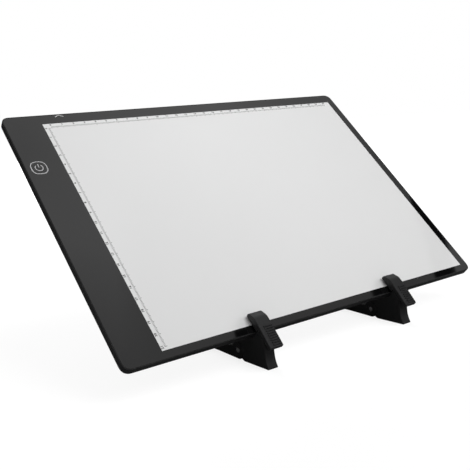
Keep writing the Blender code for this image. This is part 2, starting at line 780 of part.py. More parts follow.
def leg_outline():
    """Seen from the side, with the pin at the origin."""
    sole = -PIN_HEIGHT + LEG_LIFT
    crown = asin(LEG_TOP / KNUCKLE_RADIUS)
    knuckle = arc((0, 0), KNUCKLE_RADIUS, crown, LEG_ARCH_START, 3 * CORNER_STEPS)
    bar = rounded(
        [
            Vector((LEG_ARCH_RUN, sole)),
            Vector((LEG_LENGTH, sole)),
            Vector((LEG_LENGTH, sole + LEG_END_HEIGHT)),
            knuckle[0],
        ],
        [0, LEG_END_RADIUS, LEG_END_RADIUS, 0],
    )
    return [*knuckle[:0:-1][::-1], *bar[:-1], knuckle[0]]


def leg_foot_solid(name, leg, margin, look):
    """The rubber foot under the leg's end, or with a margin its pocket."""
    end = LEG_LENGTH - LEG_FOOT_FROM_END + margin
    start = end - LEG_FOOT_LENGTH - 2 * margin
    top = -PIN_HEIGHT + LEG_LIFT + LEG_FOOT_SINK - GAP + margin
    outline = rectangle((start, -PIN_HEIGHT), (end, top))
    left, right = LEG_FOOT_MARGIN - margin, BODY_WIDTH - LEG_FOOT_MARGIN + margin
    return profile(name, outline, left, right, leg, look)


def make_leg(side, leg):
    look = finish(*STAND_LOOK)
    bar = profile(f"leg_{side}", leg_outline(), 0, BODY_WIDTH, leg, look, BODY_EDGE)
    fork = rectangle(
        (-KNUCKLE_RADIUS - OVERRUN, -KNUCKLE_RADIUS - OVERRUN),
        (TONGUE_RADIUS + GAP, KNUCKLE_RADIUS + OVERRUN),
    )
    cut(bar, profile(f"{side}_fork", fork, CHEEK_THICK, BODY_WIDTH - CHEEK_THICK, leg))
    hole = circle((0, 0), PIN_HOLE)
    cut(bar, profile(f"{side}_leg_hole", hole, -OVERRUN, BODY_WIDTH + OVERRUN, leg))
    cut(bar, leg_foot_solid(f"{side}_foot_pocket", leg, GAP, None))
    return bar


def make_leg_fittings(side, leg):
    steel = finish("pin_steel", (0.42, 0.42, 0.43), 0.35, 1.0)
    profile(f"leg_{side}_pin", circle((0, 0), PIN_RADIUS), 0, BODY_WIDTH, leg, steel, PIN_DOME)
    name = f"leg_{side}_washer"
    ring = circle((0, 0), WASHER_RADIUS)
    washer = profile(name, ring, WASHER_LEFT, WASHER_LEFT + WASHER_THICK, leg, steel)
    left, right = WASHER_LEFT - GAP, WASHER_LEFT + WASHER_THICK + GAP
    cut(washer, profile(f"{side}_washer_hole", circle((0, 0), PIN_HOLE), left, right, leg))
    rubber = finish(*RUBBER_LOOK)
    leg_foot_solid(f"leg_{side}_foot", leg, 0, rubber)


def plate_out(along, above):
    """A place above the clamp's underside, given down the panel from its lower edge."""
    under = RAMP_HEIGHT + GAP - (along - GAP) * tan(RAMP_SLOPE)
    return on_panel(-BORDER_BOTTOM - along, under + above)


def clamp_outline():
    """Tail, ribbed top, crest and nose, then back under the hook and along the ramp."""
    nose = HOOK_REACH - BORDER_BOTTOM
    crest = RAMP_HEIGHT + GAP + (CREST_PLACE + GAP) * tan(RAMP_SLOPE) + CLAMP_THICK
    ahead = CREST_PLACE + CREST_RUN - BORDER_BOTTOM
    points = [
        plate_out(CLAMP_DROP, 0),
        plate_out(CLAMP_DROP, CLAMP_THICK),
        plate_out(-CREST_PLACE, CLAMP_THICK),
        on_panel(ahead, crest),
        on_panel(nose - NOSE_SHOULDER, crest - NOSE_FALL),
        on_panel(nose, NOSE_HEIGHT),
        on_panel(nose - NOSE_SHOULDER, HOOK_UNDER),
        on_panel(-BORDER_BOTTOM, HOOK_UNDER),
        plate_out(0, 0),
    ]
    radii = [
        TAIL_RADIUS,
        TAIL_RADIUS,
        CREST_RADIUS,
        CREST_RADIUS,
        NOSE_RADIUS,
        NOSE_RADIUS,
        TAIL_RADIUS,
        0,
        0,
    ]
    return rounded(points, radii)


def grip_outline(margin, depth):
    """The strip under the hook, from the seat inside it down to depth over the panel's face."""
    end = HOOK_REACH - BORDER_BOTTOM - GRIP_FROM_NOSE + margin
    start = end - GRIP_LENGTH - 2 * margin
    top = HOOK_UNDER + GRIP_SINK - GAP + margin
    return start, end, top, depth


def make_grip(side, clamp):
    look = finish(*RUBBER_LOOK)
    start, end, top, face = grip_outline(0, GAP)
    pitch = (end - start) / GRIP_TEETH
    teeth = []
    for number in range(GRIP_TEETH):
        root = start + number * pitch
        teeth.append(on_panel(root, face + GRIP_TOOTH_DEPTH))
        teeth.append(on_panel(root + pitch / 2, face))
    ends = [on_panel(end, face + GRIP_TOOTH_DEPTH), on_panel(end, top), on_panel(start, top)]
    right = CLAMP_WIDTH - GRIP_SIDE
    return profile(f"clamp_{side}_grip", [*teeth, *ends], GRIP_SIDE, right, clamp, look)


def make_ribs(side, clamp):
    """Cross ribs on the clamp's lower half, each sunk a little into the plate."""
    ribs = []
    half = RIB_WIDTH / 2
    crown = half - RIB_FLANK
    for number in range(RIB_COUNT):
        middle = CLAMP_DROP - RIB_FROM_TAIL - number * RIB_PITCH
        outline = [
            plate_out(middle + half, CLAMP_THICK - RIB_SINK),
            plate_out(middle + half, CLAMP_THICK),
            plate_out(middle + crown, CLAMP_THICK + RIB_HEIGHT),
            plate_out(middle - crown, CLAMP_THICK + RIB_HEIGHT),
            plate_out(middle - half, CLAMP_THICK),
            plate_out(middle - half, CLAMP_THICK - RIB_SINK),
        ]
        name = f"{side}_rib_{number}"
        ribs.append(profile(name, outline, RIB_FROM_LEFT, CLAMP_WIDTH - RIB_FROM_RIGHT, clamp))
    return gather(f"{side}_ribs", ribs, clamp)


def make_clamp(side, clamp):
    look = finish("clamp_plastic", (0.030, 0.030, 0.031), 0.38)
    plate = profile(f"clamp_{side}", clamp_outline(), 0, CLAMP_WIDTH, clamp, look, CLAMP_EDGE)
    fuse(plate, make_ribs(side, clamp))
    keel = keel_outline(0, GAP + KEEL_SINK)
    end = ramp_frame(KEEL_START + KEEL_LENGTH)
    fuse(plate, prism(f"{side}_keel", keel, -KEEL_LENGTH, 0, clamp, frame=end))
    start, end, top, bottom = grip_outline(GAP, -OVERRUN)
    corners = ((start, bottom), (end, bottom), (end, top), (start, top))
    pocket = [on_panel(along, out) for along, out in corners]
    left, right = GRIP_SIDE - GAP, CLAMP_WIDTH - GRIP_SIDE + GAP
    cut(plate, profile(f"{side}_grip_pocket", pocket, left, right, clamp))
    return plate


def make_stand(side, whole):
    stand = empty(f"stand_{side}", whole, (STAND_PLACES[side], 0, 0))
    make_stand_body(side, stand)
    make_arm_pad(side, stand)
    clamp = empty(f"clamp_{side}_slide", stand)
    make_clamp(side, clamp)
    make_grip(side, clamp)
    leg = empty(f"leg_{side}_hinge", stand, (0, PIN.x, PIN.y))
    make_leg(side, leg)
    make_leg_fittings(side, leg)


def make_pad(whole):
    pad = empty("pad", whole, tilt=TILT)
    make_back_cover(pad)
    make_front_panel(pad)
    make_mid_frame(pad)
    make_bonding_tape(pad)
    make_sheets(pad)
    make_led_bar(pad)
    make_control_board(pad)
    make_board_screws(pad)
    make_board_chips(pad)
    make_touch_electrode(pad)
    make_usb_socket(pad)
    make_led_leads(pad)
    make_back_feet(pad)


def rest_on_origin(whole):
    """Moves the part so that the bottom centre of its box is at the origin."""
    bpy.context.view_layer.update()
    graph = bpy.context.evaluated_depsgraph_get()
    corners = []
    for obj in bpy.context.view_layer.objects:
        if obj.type == "EMPTY" or obj.hide_render:
            continue
        shown = obj.evaluated_get(graph)
        mesh = shown.to_mesh()
        corners += [shown.matrix_world @ point.co for point in mesh.vertices]
        shown.to_mesh_clear()
    low = Vector([min(corner[i] for corner in corners) for i in range(3)])
    high = Vector([max(corner[i] for corner in corners) for i in range(3)])
    whole.location = (-(low.x + high.x) / 2, -(low.y + high.y) / 2, -low.z)
    bpy.context.view_layer.update()


def main():
    clear_scene()
    whole = empty("tracing_pad")
    make_pad(whole)
    for side in STAND_PLACES:
        make_stand(side, whole)
    rest_on_origin(whole)


main()
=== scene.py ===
"""Looks of the LED tracing pad on its two clip stands.
"""
from math import cos, pi, radians, sin

import bmesh
import bpy
from mathutils import Matrix, Vector


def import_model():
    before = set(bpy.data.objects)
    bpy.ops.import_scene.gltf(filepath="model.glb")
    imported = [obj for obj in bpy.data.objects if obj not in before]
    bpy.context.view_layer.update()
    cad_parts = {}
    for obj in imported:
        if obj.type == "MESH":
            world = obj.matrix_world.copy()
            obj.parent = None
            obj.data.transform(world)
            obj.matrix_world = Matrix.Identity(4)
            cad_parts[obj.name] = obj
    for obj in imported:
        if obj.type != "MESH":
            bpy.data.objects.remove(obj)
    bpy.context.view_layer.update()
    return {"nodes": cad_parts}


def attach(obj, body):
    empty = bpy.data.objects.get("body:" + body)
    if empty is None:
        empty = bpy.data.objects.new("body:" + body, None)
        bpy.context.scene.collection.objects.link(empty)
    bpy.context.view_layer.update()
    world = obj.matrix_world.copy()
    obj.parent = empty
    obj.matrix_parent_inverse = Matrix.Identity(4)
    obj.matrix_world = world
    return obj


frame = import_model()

nodes = frame["nodes"]

# The panel's own frame: X along the long side, Y up the panel, Z out of its face
TILT = radians(44.0)
PANEL_ORIGIN = Vector((-0.1456, -0.073702, 0.029385))
PANEL = Matrix.Translation(PANEL_ORIGIN) @ Matrix.Rotation(TILT, 4, "X")
LIT_LENGTH = 0.3140
LIT_WIDTH = 0.2176
SHARP_ANGLE = radians(30.0)

# The lit area's colour has a painted glow: palest a little above its middle, fading towards its
# edges
GLOW_ALONG = 0.150
GLOW_UP = 0.165
GLOW_REACH_ALONG = 0.250
GLOW_REACH_UP = 0.250
GLOW_CLOUDS = 9.0
GLOW_CLOUD_SPAN = 0.08
OPAL_PAINTED_GLOW_PEAK = (0.762, 0.763, 0.763)
OPAL_PAINTED_GLOW_FAR = (0.684, 0.685, 0.685)
WINDOW_SOFT = 0.00003

# The black print round it, and the gloss over both
BLACK_DARK = (0.0024, 0.0024, 0.0026)
BLACK_PALE = (0.0036, 0.0036, 0.0038)
GLOSS_ROUGH = 0.018
GLOSS_SMUDGE = 0.035
GLOSS_FINE = 0.010
GLOSS_WAVE = 0.00010

# Spans of a noise's value: what most of it fills, and a wider one
MOST = (0.3, 0.7)
WIDE = (0.25, 0.75)

# Moulded plastic: cloudy colour, mottled roughness, eroded grain with pits, and rubbed edges
MOULD_CLOUDS = 45.0
MOULD_MOTTLE = 180.0
MOTTLE_SMOOTHER = 0.06
MOTTLE_ROUGHER = 0.07
FINE_SHARE = 0.7
PIT_SHARE = 0.3
PIT_COARSER = 0.55
PIT_REACH = 0.55
RUB_REACH = 0.0005
RUB_TURN = (0.02, 0.22)
RUB_PATCHES = 420.0
RUB_SPAN = (0.42, 0.62)
RUB_PALER = 3.0
RUB_SMOOTHER = 0.14

# Open air over a flat face is 1. In the clamps' grooves it is less, and painted shade makes them
# darker there
GROOVE_SHADE_REACH = 0.0009
GROOVE_SHADE_DEEP = 0.48
GROOVE_SHADE_OPEN = 0.88
GROOVE_SHADE_DARKER = 0.2

# The LEDs stand out of their white board from here on
PHOSPHOR_FROM = -0.00335
PHOSPHOR_WHOLE = -0.00330

# The printed scale
SCALE_ALONG = 300
SCALE_DOWN = 210
NUMBER_STEP = 10
HALF_STEP = 5
ZERO_ALONG = 0.0063
ZERO_DOWN = 0.0050
TICK_PITCH = 0.0010
TICK_WIDTH = 0.00030
TICK_START = 0.0031
TICK_LENGTH = 0.0014
TICK_FIVE = 0.0018
TICK_TEN = 0.0022
DIGIT_PLACE = 0.0014
DIGIT_SIZE = 0.0024
DIGIT_BOLD = 0.00011
DIGIT_SPACING = 1.15
DIGIT_STEPS = 2
INK_TOP = 0.00002
MITRE_LIMIT = 0.3

# The touch key and the mark at the socket
KEY_PLACE = Vector((-0.0200, 0.1720))
KEY_HALF = 0.0062
KEY_POWER = 2.6
KEY_LINE = 0.00070
KEY_STEPS = 72
ICON_RADIUS = 0.0030
ICON_LINE = 0.00065
ICON_GAP = radians(38.0)
ICON_STEPS = 40
BAR_START = 0.0002
BAR_PAST = 0.0008
MARK_PLACE = Vector((0.0174, 0.2268))
MARK_SPAN = 0.0038
MARK_DROP = 0.0020
MARK_LINE = 0.0007

# The camera, in pixels of the photograph and in the panel's own frame
IMAGE_SIZE = 470
FOCAL_PIXELS = 739.9
CENTRE_ALONG = 208.4
CENTRE_DOWN = 220.8
SENSOR_WIDTH = 36.0
CLIP_NEAR = 0.01
CLIP_FAR = 50.0
CAMERA_PLACE = Vector((-0.23593, -0.18263, 0.39059))
CAMERA_RIGHT = Vector((0.8122, -0.4674, 0.3492))
CAMERA_DOWN = Vector((-0.1464, -0.7426, -0.6535))
CAMERA_AHEAD = Vector((0.5648, 0.4796, -0.6716))

# The light: for each lamp its name, the way to it, its distance, its size and its level
AMBIENT = (0.22, 0.22, 0.22)
WHITE = (1.0, 1.0, 1.0)
BLACK = (0.0, 0.0, 0.0)
LAMP_TARGET = Vector((0.0, 0.0, 0.09))
LAMPS = (
    ("main", (0.35, -0.55, 0.75), 3.4, 2.5, 0.68),
    ("low_side", (0.88, -0.33, 0.30), 3.2, 1.0, 0.32),
    ("back_fill", (-0.20, 0.50, 0.85), 3.0, 2.1, 0.22),
    ("back_low", (0.20, 0.93, 0.28), 3.0, 1.6, 1.50),
)

# The floor
FLOOR_RADIUS = 6.0
FLOOR_STEPS = 96
FLOOR_PALE = (0.50, 0.50, 0.50)
FLOOR_SHADE = (0.18, 0.18, 0.18)
FLOOR_GLOW = 0.83
FLOOR_GLOW_IN_GLOSS = 0.15
# The reach of the painted shadow that dims the floor's glow in gloss close under the object
FLOOR_PAINTED_SHADOW_REACH = 0.25
FLOOR_NEAR = 0.35
FLOOR_FAR = 1.20

# The pale card on the right. Each span is where it starts and ends, and its light at both
CARD_RIGHT = 0.75
CARD_FRONT = -1.2
CARD_BACK = 0.35
CARD_LOW = 0.4
CARD_HIGH = 3.4
FRONT_LOW_SPAN = (0.66, 0.86, 0.45, 0.61)
FRONT_HIGH_SPAN = (1.1, 1.5, 0.0, 0.14)
FRONT_TOP_SPAN = (-0.75, -0.30, 0.74, 1.19)
FRONT_TOP_LEVEL = 0.75
FRONT_TOP_HEIGHT = (1.6, 1.85)
BACK_LOW_SPAN = (0.63, 1.20, 0.47, 1.10)
BACK_HIGH_SPAN = (1.95, 2.50, 0.0, -0.12)
FRONT_TO_BACK = (-0.25, 0.05)
FOOT_SPAN = (0.482, 0.490, 0.68, 0.0)

# The dark patches on that card: a slot, and two more that also lean along it
SHADE_LEAN = 0.338
SHADE_TURN = 0.364
SHADE_SOFT = 0.002
SLOT_PLACE = (0.5520, 0.6028)
SLOT_REACH = (-0.35, 0.00)
PATCHES = (((0.735, 0.785), (-0.090, -0.0445)), ((1.262, 1.346), (-0.090, -0.0385)))

# The dark cards: one from each corner of this line to the next
FLAG_NAMES = ("flag_left", "flag_back", "flag_right")
FLAG_LINE = ((-1.30, -0.10), (-1.30, 1.30), (2.40, 1.30), (2.40, -1.50))
FLAG_LOW = 0.01
FLAG_HIGH = 1.30
FLAG_WEAVE = (0.04, 0.07)

# Sockets of a colour Mix node, which share their names with those of its other kinds
MIX_FIRST = 6
MIX_SECOND = 7
MIX_RESULT = 2


class Graph:
    """The node tree of one finish."""

    def __init__(self, name, roughness=0.5, metallic=0.0):
        self.material = bpy.data.materials.new(name)
        self.material.use_nodes = True
        self.tree = self.material.node_tree
        self.shader = self.tree.nodes["Principled BSDF"]
        self.set(roughness=roughness, metallic=metallic)
        self.place = self.node("TexCoord").outputs["Object"]

    def node(self, kind, **settings):
        made = self.tree.nodes.new("ShaderNode" + kind)
        for name, value in settings.items():
            setattr(made, name, value)
        return made

    def link(self, source, target):
        self.tree.links.new(source, target)

    def feed(self, socket, value):
        """Links an output to the socket, or sets it to a number or a colour."""
        if isinstance(value, bpy.types.NodeSocket):
            self.link(value, socket)
        elif isinstance(value, tuple):
            socket.default_value = (*value, 1.0)
        else:
            socket.default_value = value

    def math(self, operation, first, second=0.5, clamp=False):
        step = self.node("Math", operation=operation, use_clamp=clamp)
        self.feed(step.inputs[0], first)
        self.feed(step.inputs[1], second)
        return step.outputs[0]

    def noise(self, scale, detail=3.0, roughness=0.55, place=None, stretch=None, span=None):
        """Noise of about 1/scale metres to a blob, from 0 to 1, or that span of it about 0."""
        vector = place or self.place
        if stretch is not None:
            mapping = self.node("Mapping")
            self.link(vector, mapping.inputs["Vector"])
            mapping.inputs["Scale"].default_value = stretch
            vector = mapping.outputs["Vector"]
        made = self.node("TexNoise")
        self.link(vector, made.inputs["Vector"])
        made.inputs["Scale"].default_value = scale
        made.inputs["Detail"].default_value = detail
        made.inputs["Roughness"].default_value = roughness
        if span is None:
            return made.outputs["Fac"]
        return self.math("MULTIPLY", self.math("SUBTRACT", made.outputs["Fac"], 0.5), span)

    def cells(self, scale, place=None):
        """The distance to the nearest of points about 1/scale metres apart, in that unit."""
        made = self.node("TexVoronoi")
        self.link(place or self.place, made.inputs["Vector"])
        made.inputs["Scale"].default_value = scale
        return made.outputs["Distance"]

    def remap(self, value, low, high, start=0.0, end=1.0):
        """From start to end while value goes from low to high, and flat outside."""
        made = self.node("MapRange", clamp=True)
        self.feed(made.inputs["Value"], value)
        made.inputs["From Min"].default_value = low
        made.inputs["From Max"].default_value = high
        made.inputs["To Min"].default_value = start
        made.inputs["To Max"].default_value = end
        return made.outputs["Result"]

    def mix(self, share, first, second):
        made = self.node("Mix", data_type="RGBA")
        self.feed(made.inputs["Factor"], share)
        self.feed(made.inputs[MIX_FIRST], first)
        self.feed(made.inputs[MIX_SECOND], second)
        return made.outputs[MIX_RESULT]

    def edges(self, radius):
        """From 0 on flat faces to 1 along the edges."""
        bevel = self.node("Bevel", samples=6)
        bevel.inputs["Radius"].default_value = radius
        flat = self.node("NewGeometry").outputs["Normal"]
        dot = self.node("VectorMath", operation="DOT_PRODUCT")
        self.link(bevel.outputs["Normal"], dot.inputs[0])
        self.link(flat, dot.inputs[1])
        away = self.math("SUBTRACT", 1.0, dot.outputs["Value"])
        return self.remap(away, *RUB_TURN)

    def open_air(self, reach, samples=16):
        """1 where nothing is near within that reach, and less in grooves and under things."""
        made = self.node("AmbientOcclusion", samples=samples)
        made.inputs["Distance"].default_value = reach
        return made.outputs["AO"]

    def bump(self, height, distance):
        made = self.node("Bump")
        self.link(height, made.inputs["Height"])
        made.inputs["Distance"].default_value = distance
        made.inputs["Strength"].default_value = 1.0
        return made.outputs["Normal"]

    def set(self, **sockets):
        """Feeds sockets of the shader, which are named as in base_color."""
        for name, value in sockets.items():
            self.feed(self.shader.inputs[name.replace("_", " ").title()], value)

    def specular(self, level):
        self.feed(self.shader.inputs["Specular IOR Level"], level)

    def on_panel(self):
        """The place in the panel's own frame: along, up, and all three as one vector."""
        mapping = self.node("Mapping")
        self.link(self.place, mapping.inputs["Vector"])
        back = PANEL.inverted()
        mapping.inputs["Location"].default_value = back.translation
        mapping.inputs["Rotation"].default_value = back.to_euler()
        split = self.node("SeparateXYZ")
        self.link(mapping.outputs["Vector"], split.inputs["Vector"])
        return split.outputs["X"], split.outputs["Y"], mapping.outputs["Vector"]


def moulded(name, dark, light, roughness, grain, depth, sheen=0.2, worn=None, groove_shade=None):
    """Moulded plastic: fine eroded texture, faint cloudy colour, and edges rubbed smoother.

    If a groove reach is given, painted shade makes the plastic darker and duller in grooves
    narrower than that reach.
    """
    g = Graph(name)
    cloud = g.remap(g.noise(MOULD_CLOUDS, detail=4.0), *MOST)
    colour = g.mix(cloud, dark, light)
    rubbed = g.remap(g.noise(RUB_PATCHES, detail=4.0, roughness=0.65), *RUB_SPAN)
    wear = g.math("MULTIPLY", g.edges(RUB_REACH), rubbed)
    colour = g.mix(wear, colour, worn or tuple(RUB_PALER * c for c in light))
    if groove_shade:
        # Painted shade in the grooves: darker colour and less reflection where open air is less
        lit = g.remap(g.open_air(groove_shade, samples=8), GROOVE_SHADE_DEEP, GROOVE_SHADE_OPEN)
        colour = g.mix(lit, tuple(GROOVE_SHADE_DARKER * c for c in dark), colour)
        sheen = g.math("MULTIPLY", lit, sheen)
    low, high = roughness - MOTTLE_SMOOTHER, roughness + MOTTLE_ROUGHER
    mottle = g.remap(g.noise(MOULD_MOTTLE), *WIDE, low, high)
    rough = g.math("SUBTRACT", mottle, g.math("MULTIPLY", wear, RUB_SMOOTHER), clamp=True)
    fine = g.noise(grain, roughness=0.6)
    pits = g.remap(g.cells(grain * PIT_COARSER), 0.0, PIT_REACH)
    fine, pits = g.math("MULTIPLY", fine, FINE_SHARE), g.math("MULTIPLY", pits, PIT_SHARE)
    height = g.math("ADD", fine, pits)
    g.set(base_color=colour, roughness=rough, normal=g.bump(height, depth))
    g.specular(sheen)
    return g.material


def rubber(name, dark, light):
    """Soft black rubber with a dusty bloom."""
    g = Graph(name)
    bloom = g.remap(g.noise(260.0, detail=5.0, roughness=0.65), 0.4, 0.75)
    rough = g.remap(g.noise(900.0), 0.2, 0.8, start=0.72, end=0.92)
    tooth = g.noise(2600.0, detail=4.0, roughness=0.7)
    g.set(base_color=g.mix(bloom, dark, light), roughness=rough, normal=g.bump(tooth, 0.00004))
    g.specular(0.25)
    return g.material


def steel(name, dark, light, roughness, turned=(1.0, 14.0, 14.0)):
    """Turned or stamped metal: fine lines, a little stain."""
    g = Graph(name, metallic=1.0)
    lines = g.noise(900.0, roughness=0.6, stretch=turned)
    stain = g.remap(g.noise(300.0, detail=4.0), 0.35, 0.7)
    rough = g.remap(lines, *WIDE, start=roughness - 0.08, end=roughness + 0.10)
    g.set(base_color=g.mix(stain, dark, light), roughness=rough, normal=g.bump(lines, 0.00001))
    return g.material


def film(name, base, far, roughness, clouds=70.0, clear=0.0):
    """A thin plastic sheet with a faint cloud and a fine matt tooth."""
    g = Graph(name)
    colour = g.mix(g.remap(g.noise(clouds), *MOST), base, far)
    tooth = g.noise(3200.0, detail=2.0)
    rough = g.remap(g.noise(240.0), *MOST, start=roughness - 0.04, end=roughness + 0.05)
    g.set(base_color=colour, roughness=rough, normal=g.bump(tooth, 0.00001))
    if clear:
        g.set(transmission_weight=clear)
        g.shader.inputs["IOR"].default_value = 1.49
    return g.material


def gloss_panel():
    """The acrylic face: printed black outside the lit area, opal with a painted glow inside it, one
    gloss over both.
    """
    g = Graph("gloss_panel")
    along, up, place = g.on_panel()
    inside = []
    for value, size in ((along, LIT_LENGTH), (up, LIT_WIDTH)):
        away = g.math("ABSOLUTE", g.math("SUBTRACT", value, size / 2))
        inside.append(g.remap(away, size / 2 - WINDOW_SOFT, size / 2 + WINDOW_SOFT, 1.0, 0.0))
    window = g.math("MULTIPLY", inside[0], inside[1])
    # Painted glow: the opal is palest at a middle point and darker away from it, with faint clouds
    falls = []
    for value, middle, reach in (
        (along, GLOW_ALONG, GLOW_REACH_ALONG),
        (up, GLOW_UP, GLOW_REACH_UP),
    ):
        away = g.math("DIVIDE", g.math("SUBTRACT", value, middle), reach)
        falls.append(g.math("POWER", away, 2.0))
    clouds = g.noise(GLOW_CLOUDS, detail=2.0, place=place, span=GLOW_CLOUD_SPAN)
    fall = g.math("ADD", g.math("ADD", falls[0], falls[1]), clouds)
    opal = g.mix(g.remap(fall, 0.0, 1.0), OPAL_PAINTED_GLOW_PEAK, OPAL_PAINTED_GLOW_FAR)
    black = g.mix(g.noise(60.0, place=place), BLACK_DARK, BLACK_PALE)
    smudge = g.remap(g.noise(38.0, detail=5.0, roughness=0.6, place=place), 0.35, 0.75)
    fine = g.remap(g.noise(700.0, detail=2.0, place=place), *MOST)
    marks = g.math(
        "ADD", g.math("MULTIPLY", smudge, GLOSS_SMUDGE), g.math("MULTIPLY", fine, GLOSS_FINE)
    )
    rough = g.math("ADD", marks, GLOSS_ROUGH)
    wave = g.noise(16.0, detail=2.0, roughness=0.4, place=place)
    g.set(base_color=g.mix(window, black, opal), roughness=rough, normal=g.bump(wave, GLOSS_WAVE))
    return g.material


def ink(name, dark, light):
    """Screen-printed ink, a little uneven."""
    g = Graph(name)
    patch = g.remap(g.noise(1500.0, roughness=0.6), *MOST)
    rough = g.remap(g.noise(500.0, detail=2.0), *MOST, start=0.06, end=0.14)
    grain = g.noise(4000.0, detail=2.0)
    g.set(base_color=g.mix(patch, dark, light), roughness=rough, normal=g.bump(grain, 0.000004))
    return g.material


def circuit_board(name, mask, trace, silk):
    """Solder mask with darker tracks under it and a few bare pads."""
    g = Graph(name)
    place = g.on_panel()[2]
    brick = g.node("TexBrick", offset=0.5, squash=1.0)
    g.link(place, brick.inputs["Vector"])
    brick.inputs["Scale"].default_value = 420.0
    brick.inputs["Mortar Size"].default_value = 0.055
    with_tracks = g.remap(g.noise(160.0, detail=1.0, place=place), 0.46, 0.52)
    tracks = g.math("MULTIPLY", g.remap(brick.outputs["Fac"], 0.2, 0.8), with_tracks)
    with_pads = g.remap(g.noise(90.0, detail=1.0, place=place), 0.52, 0.56)
    dots = g.remap(g.cells(700.0, place=place), 0.10, 0.13, start=1.0, end=0.0)
    pads = g.math("MULTIPLY", dots, with_pads)
    colour = g.mix(pads, g.mix(tracks, mask, trace), silk)
    rough = g.remap(g.noise(500.0), *MOST, start=0.28, end=0.42)
    height = g.math("ADD", tracks, pads)
    g.set(base_color=colour, roughness=rough, normal=g.bump(height, 0.00003))
    return g.material


def led_board():
    """White board with yellow phosphor where the LEDs are."""
    g = Graph("led_board_white")
    along = g.on_panel()[0]
    phosphor = g.remap(along, PHOSPHOR_FROM, PHOSPHOR_WHOLE)
    colour = g.mix(phosphor, (0.74, 0.75, 0.73), (0.78, 0.66, 0.22))
    grain = g.noise(1400.0)
    rough = g.remap(grain, *MOST, start=0.34, end=0.55)
    g.set(base_color=colour, roughness=rough, normal=g.bump(grain, 0.00002))
    return g.material


def chip():
    """Black epoxy with a fine grain."""
    g = Graph("chip_epoxy")
    grain = g.noise(5200.0, roughness=0.7)
    colour = g.mix(g.remap(grain, 0.3, 0.8), (0.014, 0.014, 0.015), (0.034, 0.034, 0.035))
    rough = g.remap(g.noise(900.0), *MOST, start=0.42, end=0.60)
    g.set(base_color=colour, roughness=rough, normal=g.bump(grain, 0.00001))
    return g.material


def insulation():
    """The leads' soft red plastic."""
    g = Graph("lead_insulation")
    patch = g.noise(600.0)
    colour = g.mix(patch, (0.36, 0.018, 0.012), (0.52, 0.035, 0.022))
    rough = g.remap(patch, *MOST, start=0.36, end=0.50)
    g.set(base_color=colour, roughness=rough, normal=g.bump(g.noise(3000.0), 0.00001))
    return g.material


def finishes():
    """Gives every solid its finish."""
    tray = moulded(
        "tray_abs", dark=(0.0112, 0.0112, 0.0116), light=(0.0152, 0.0152, 0.0157),
        roughness=0.46, grain=2600.0, depth=0.00003, sheen=0.16,
    )
    stand = moulded(
        "stand_abs", dark=(0.0080, 0.0080, 0.0084), light=(0.0108, 0.0108, 0.0113),
        roughness=0.50, grain=2100.0, depth=0.00004,
    )
    clamp = moulded(
        "clamp_abs", dark=(0.0096, 0.0096, 0.0100), light=(0.0134, 0.0134, 0.0139),
        roughness=0.46, grain=2400.0, depth=0.00004, sheen=0.28, groove_shade=GROOVE_SHADE_REACH,
    )
    white = moulded(
        "frame_white_abs", dark=(0.60, 0.60, 0.58), light=(0.66, 0.66, 0.64),
        roughness=0.48, grain=2200.0, depth=0.00003, sheen=0.5, worn=(0.74, 0.74, 0.72),
    )
    soft = rubber("black_rubber_bloom", dark=(0.010, 0.010, 0.010), light=(0.024, 0.024, 0.023))
    foam = rubber("contact_foam", dark=(0.060, 0.060, 0.062), light=(0.130, 0.130, 0.132))
    pin = steel("pin_steel", dark=(0.46, 0.46, 0.47), light=(0.62, 0.62, 0.63), roughness=0.32)
    screw = steel("screw_zinc", dark=(0.46, 0.46, 0.47), light=(0.60, 0.60, 0.60), roughness=0.30)
    tin = steel(
        "socket_tin", dark=(0.50, 0.50, 0.51), light=(0.64, 0.64, 0.65),
        roughness=0.26, turned=(10.0, 1.0, 1.0),
    )
    tape = film(
        "tape_black", base=(0.014, 0.014, 0.014), far=(0.024, 0.024, 0.024),
        roughness=0.78, clouds=120.0,
    )
    diffuser = film(
        "diffuser_opal", base=(0.82, 0.82, 0.82), far=(0.87, 0.87, 0.87), roughness=0.58
    )
    guide = film(
        "guide_acrylic", base=(0.82, 0.86, 0.87), far=(0.86, 0.89, 0.90),
        roughness=0.09, clouds=40.0, clear=0.85,
    )
    reflector = film(
        "reflector_white", base=(0.88, 0.88, 0.88), far=(0.92, 0.92, 0.92), roughness=0.40
    )
    board = circuit_board(
        "board_green", mask=(0.012, 0.115, 0.050), trace=(0.008, 0.080, 0.034),
        silk=(0.62, 0.58, 0.42),
    )
    looks = {
        "front_panel": gloss_panel(),
        "back_cover": tray,
        "mid_frame": white,
        "bonding_tape": tape,
        "diffuser_sheet": diffuser,
        "light_guide": guide,
        "reflector_sheet": reflector,
        "led_bar": led_board(),
        "control_board": board,
        "touch_electrode": foam,
        "usb_socket": tin,
    }
    epoxy, wire = chip(), insulation()
    for name in ("driver_chip", "driver_coil", "capacitor_1", "capacitor_2"):
        looks[name] = epoxy
    for number in (1, 2):
        looks[f"led_lead_{number}"] = wire
        looks[f"board_screw_{number}"] = screw
    for number in (1, 2, 3, 4):
        looks[f"back_foot_{number}"] = soft
    for side in ("left", "right"):
        looks[f"stand_{side}_body"] = stand
        looks[f"leg_{side}"] = stand
        looks[f"clamp_{side}"] = clamp
        looks[f"clamp_{side}_grip"] = soft
        looks[f"stand_{side}_arm_pad"] = soft
        looks[f"leg_{side}_foot"] = soft
        looks[f"leg_{side}_pin"] = pin
        looks[f"leg_{side}_washer"] = pin
    for name, node in nodes.items():
        node.data.materials.clear()
        node.data.materials.append(looks[name])


